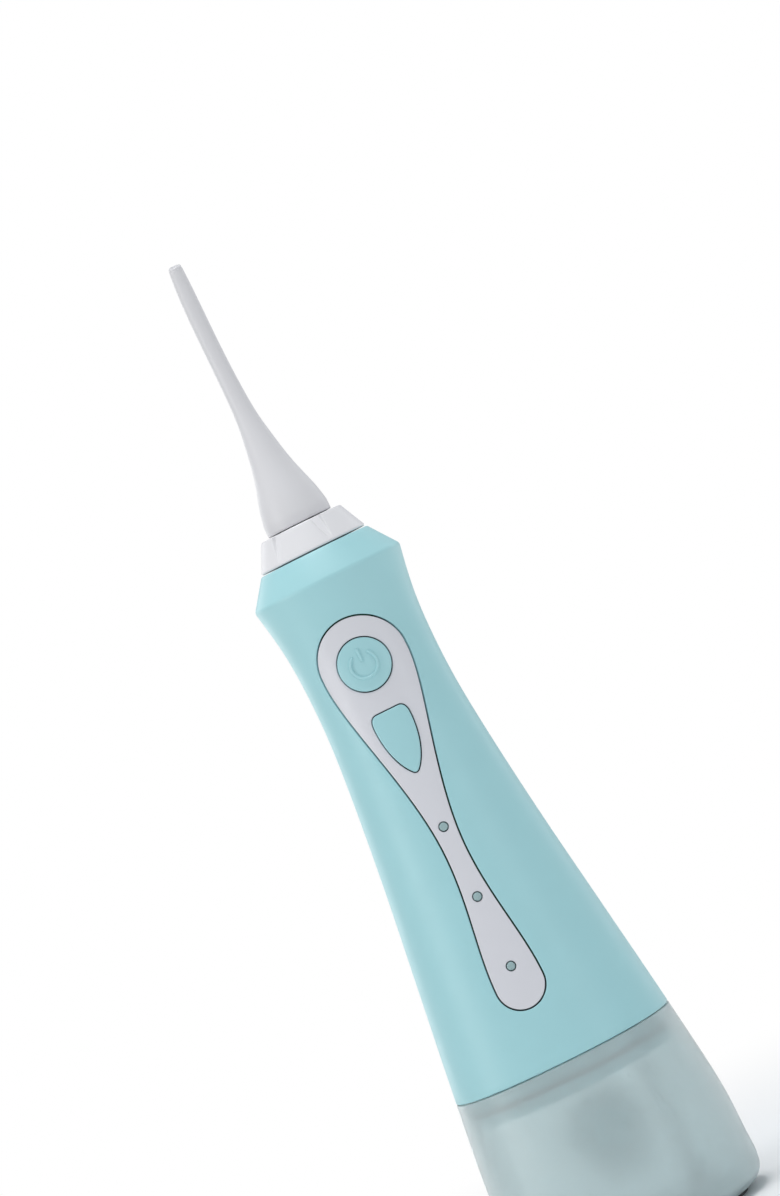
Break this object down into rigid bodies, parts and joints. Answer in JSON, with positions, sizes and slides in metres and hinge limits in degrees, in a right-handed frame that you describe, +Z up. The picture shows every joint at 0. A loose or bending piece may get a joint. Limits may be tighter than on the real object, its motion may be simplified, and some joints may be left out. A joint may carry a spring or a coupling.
{
  "type": "water flosser",
  "caption": "Cordless water flosser: waisted handle with two-button panel, turning jet nozzle, internal motor and piston pump, and a pull-off reservoir with a hinged filler cap.",
  "frame": {"origin": "centre of the resting face, under the foot pad", "axes": "+Z up along the handle, -Y towards the user (the control panel's side), +X to the panel's right as seen from the front"},
  "size_m": [0.0704, 0.0665, 0.2912],
  "materials": {
    "mint_shell": "soft satin moulded plastic",
    "pale_panel": "satin moulded plastic",
    "white_plastic": "satin moulded plastic",
    "tank_plastic": "frosted translucent plastic",
    "clear_plastic": "clear moulded plastic",
    "grey_plastic": "moulded plastic",
    "nylon": "natural nylon",
    "rubber": "soft rubber",
    "mint_rubber": "soft moulded rubber",
    "board_green": "solder mask",
    "steel": "bright steel",
    "brass": "machined brass",
    "cell_wrap": "shrink wrap"
  },
  "bodies": {
    "handle": {"front_shell": "mint_shell", "rear_shell": "mint_shell", "control_panel": "pale_panel", "button_membrane": "rubber", "circuit_board": "board_green", "light_pipe_upper": "clear_plastic", "light_pipe_middle": "clear_plastic", "light_pipe_lower": "clear_plastic", "board_screw_1": "steel", "board_screw_2": "steel", "inner_frame": "grey_plastic", "battery_cell_left": "cell_wrap", "battery_cell_right": "cell_wrap", "motor_can": "steel", "motor_end_cap": "grey_plastic", "gear_axle": "steel", "axle_clip": "steel", "pump_cylinder": "white_plastic", "pump_screw_left": "steel", "pump_screw_right": "steel", "valve_head": "white_plastic", "outlet_spring": "steel", "nozzle_seat": "white_plastic", "handle_base": "mint_shell", "tank_seal": "rubber", "suction_tube": "clear_plastic", "inlet_filter": "white_plastic", "charge_jack": "grey_plastic"},
    "tip_collar": {"tip_collar": "white_plastic", "collar_clip": "steel"},
    "nozzle": {"nozzle": "white_plastic", "nozzle_o_ring": "rubber"},
    "power_button": {"power_button": "mint_shell"},
    "mode_button": {"mode_button": "mint_shell"},
    "tank": {"reservoir": "tank_plastic", "foot_pad": "rubber", "cap_hinge_pin": "steel"},
    "filler_cap": {"filler_cap": "mint_shell", "filler_gasket": "rubber"},
    "port_cover": {"port_cover": "mint_rubber"},
    "motor_rotor": {"motor_rotor": "steel", "drive_pinion": "brass"},
    "crank_gear": {"crank_gear": "nylon"},
    "con_rod": {"con_rod": "nylon", "wrist_pin": "steel"},
    "piston": {"piston": "white_plastic", "piston_seal": "rubber"},
    "outlet_ball": {"outlet_ball": "steel"}
  },
  "joints": [
    {"name": "collar_turn", "type": "hinge", "parent": "handle", "child": "tip_collar", "pos_m": [0, 0, 0.20595], "axis": [0, 0, 1], "continuous": true},
    {"name": "nozzle_pull", "type": "slide", "parent": "tip_collar", "child": "nozzle", "axis": [0, 0, 1], "range_m": [0, 0.02]},
    {"name": "power_press", "type": "slide", "parent": "handle", "child": "power_button", "axis": [0, 1, 0], "range_m": [0, 0.0008], "stiffness_N_per_m": 400, "springref_m": -0.0004},
    {"name": "mode_press", "type": "slide", "parent": "handle", "child": "mode_button", "axis": [0, 1, 0], "range_m": [0, 0.0008], "stiffness_N_per_m": 400, "springref_m": -0.0004},
    {"name": "tank_slide", "type": "slide", "parent": "handle", "child": "tank", "axis": [0, 0, -1], "range_m": [0, 0.05]},
    {"name": "filler_cap_hinge", "type": "hinge", "parent": "tank", "child": "filler_cap", "pos_m": [0, 0.0336, 0.0149], "axis": [-1, 0, 0], "range_deg": [0, 110]},
    {"name": "port_cover_hinge", "type": "hinge", "parent": "handle", "child": "port_cover", "pos_m": [0, 0.02865, 0.0796], "axis": [1, 0, 0], "range_deg": [0, 100]},
    {"name": "crank_spin", "type": "hinge", "parent": "handle", "child": "crank_gear", "pos_m": [0, 0, 0.1505], "axis": [0, 1, 0], "continuous": true},
    {"name": "rotor_spin", "type": "hinge", "parent": "handle", "child": "motor_rotor", "pos_m": [0, 0.007, 0.135], "axis": [0, 0, 1], "continuous": true},
    {"name": "rod_swing", "type": "hinge", "parent": "crank_gear", "child": "con_rod", "pos_m": [0, 0, 0.1525], "axis": [0, 1, 0], "continuous": true},
    {"name": "piston_stroke", "type": "slide", "parent": "handle", "child": "piston", "axis": [0, 0, -1], "range_m": [0, 0.004], "stiffness_N_per_m": 30, "springref_m": -0.001},
    {"name": "outlet_ball_lift", "type": "slide", "parent": "handle", "child": "outlet_ball", "axis": [0, 0, 1], "range_m": [0, 0.0008], "deforming": ["outlet_spring"]}
  ],
  "couplings": [
    {"joint": "rotor_spin", "follows": "crank_spin", "ratio": -4},
    {"joint": "rod_swing", "follows": "crank_spin", "ratio": -1}
  ]
}
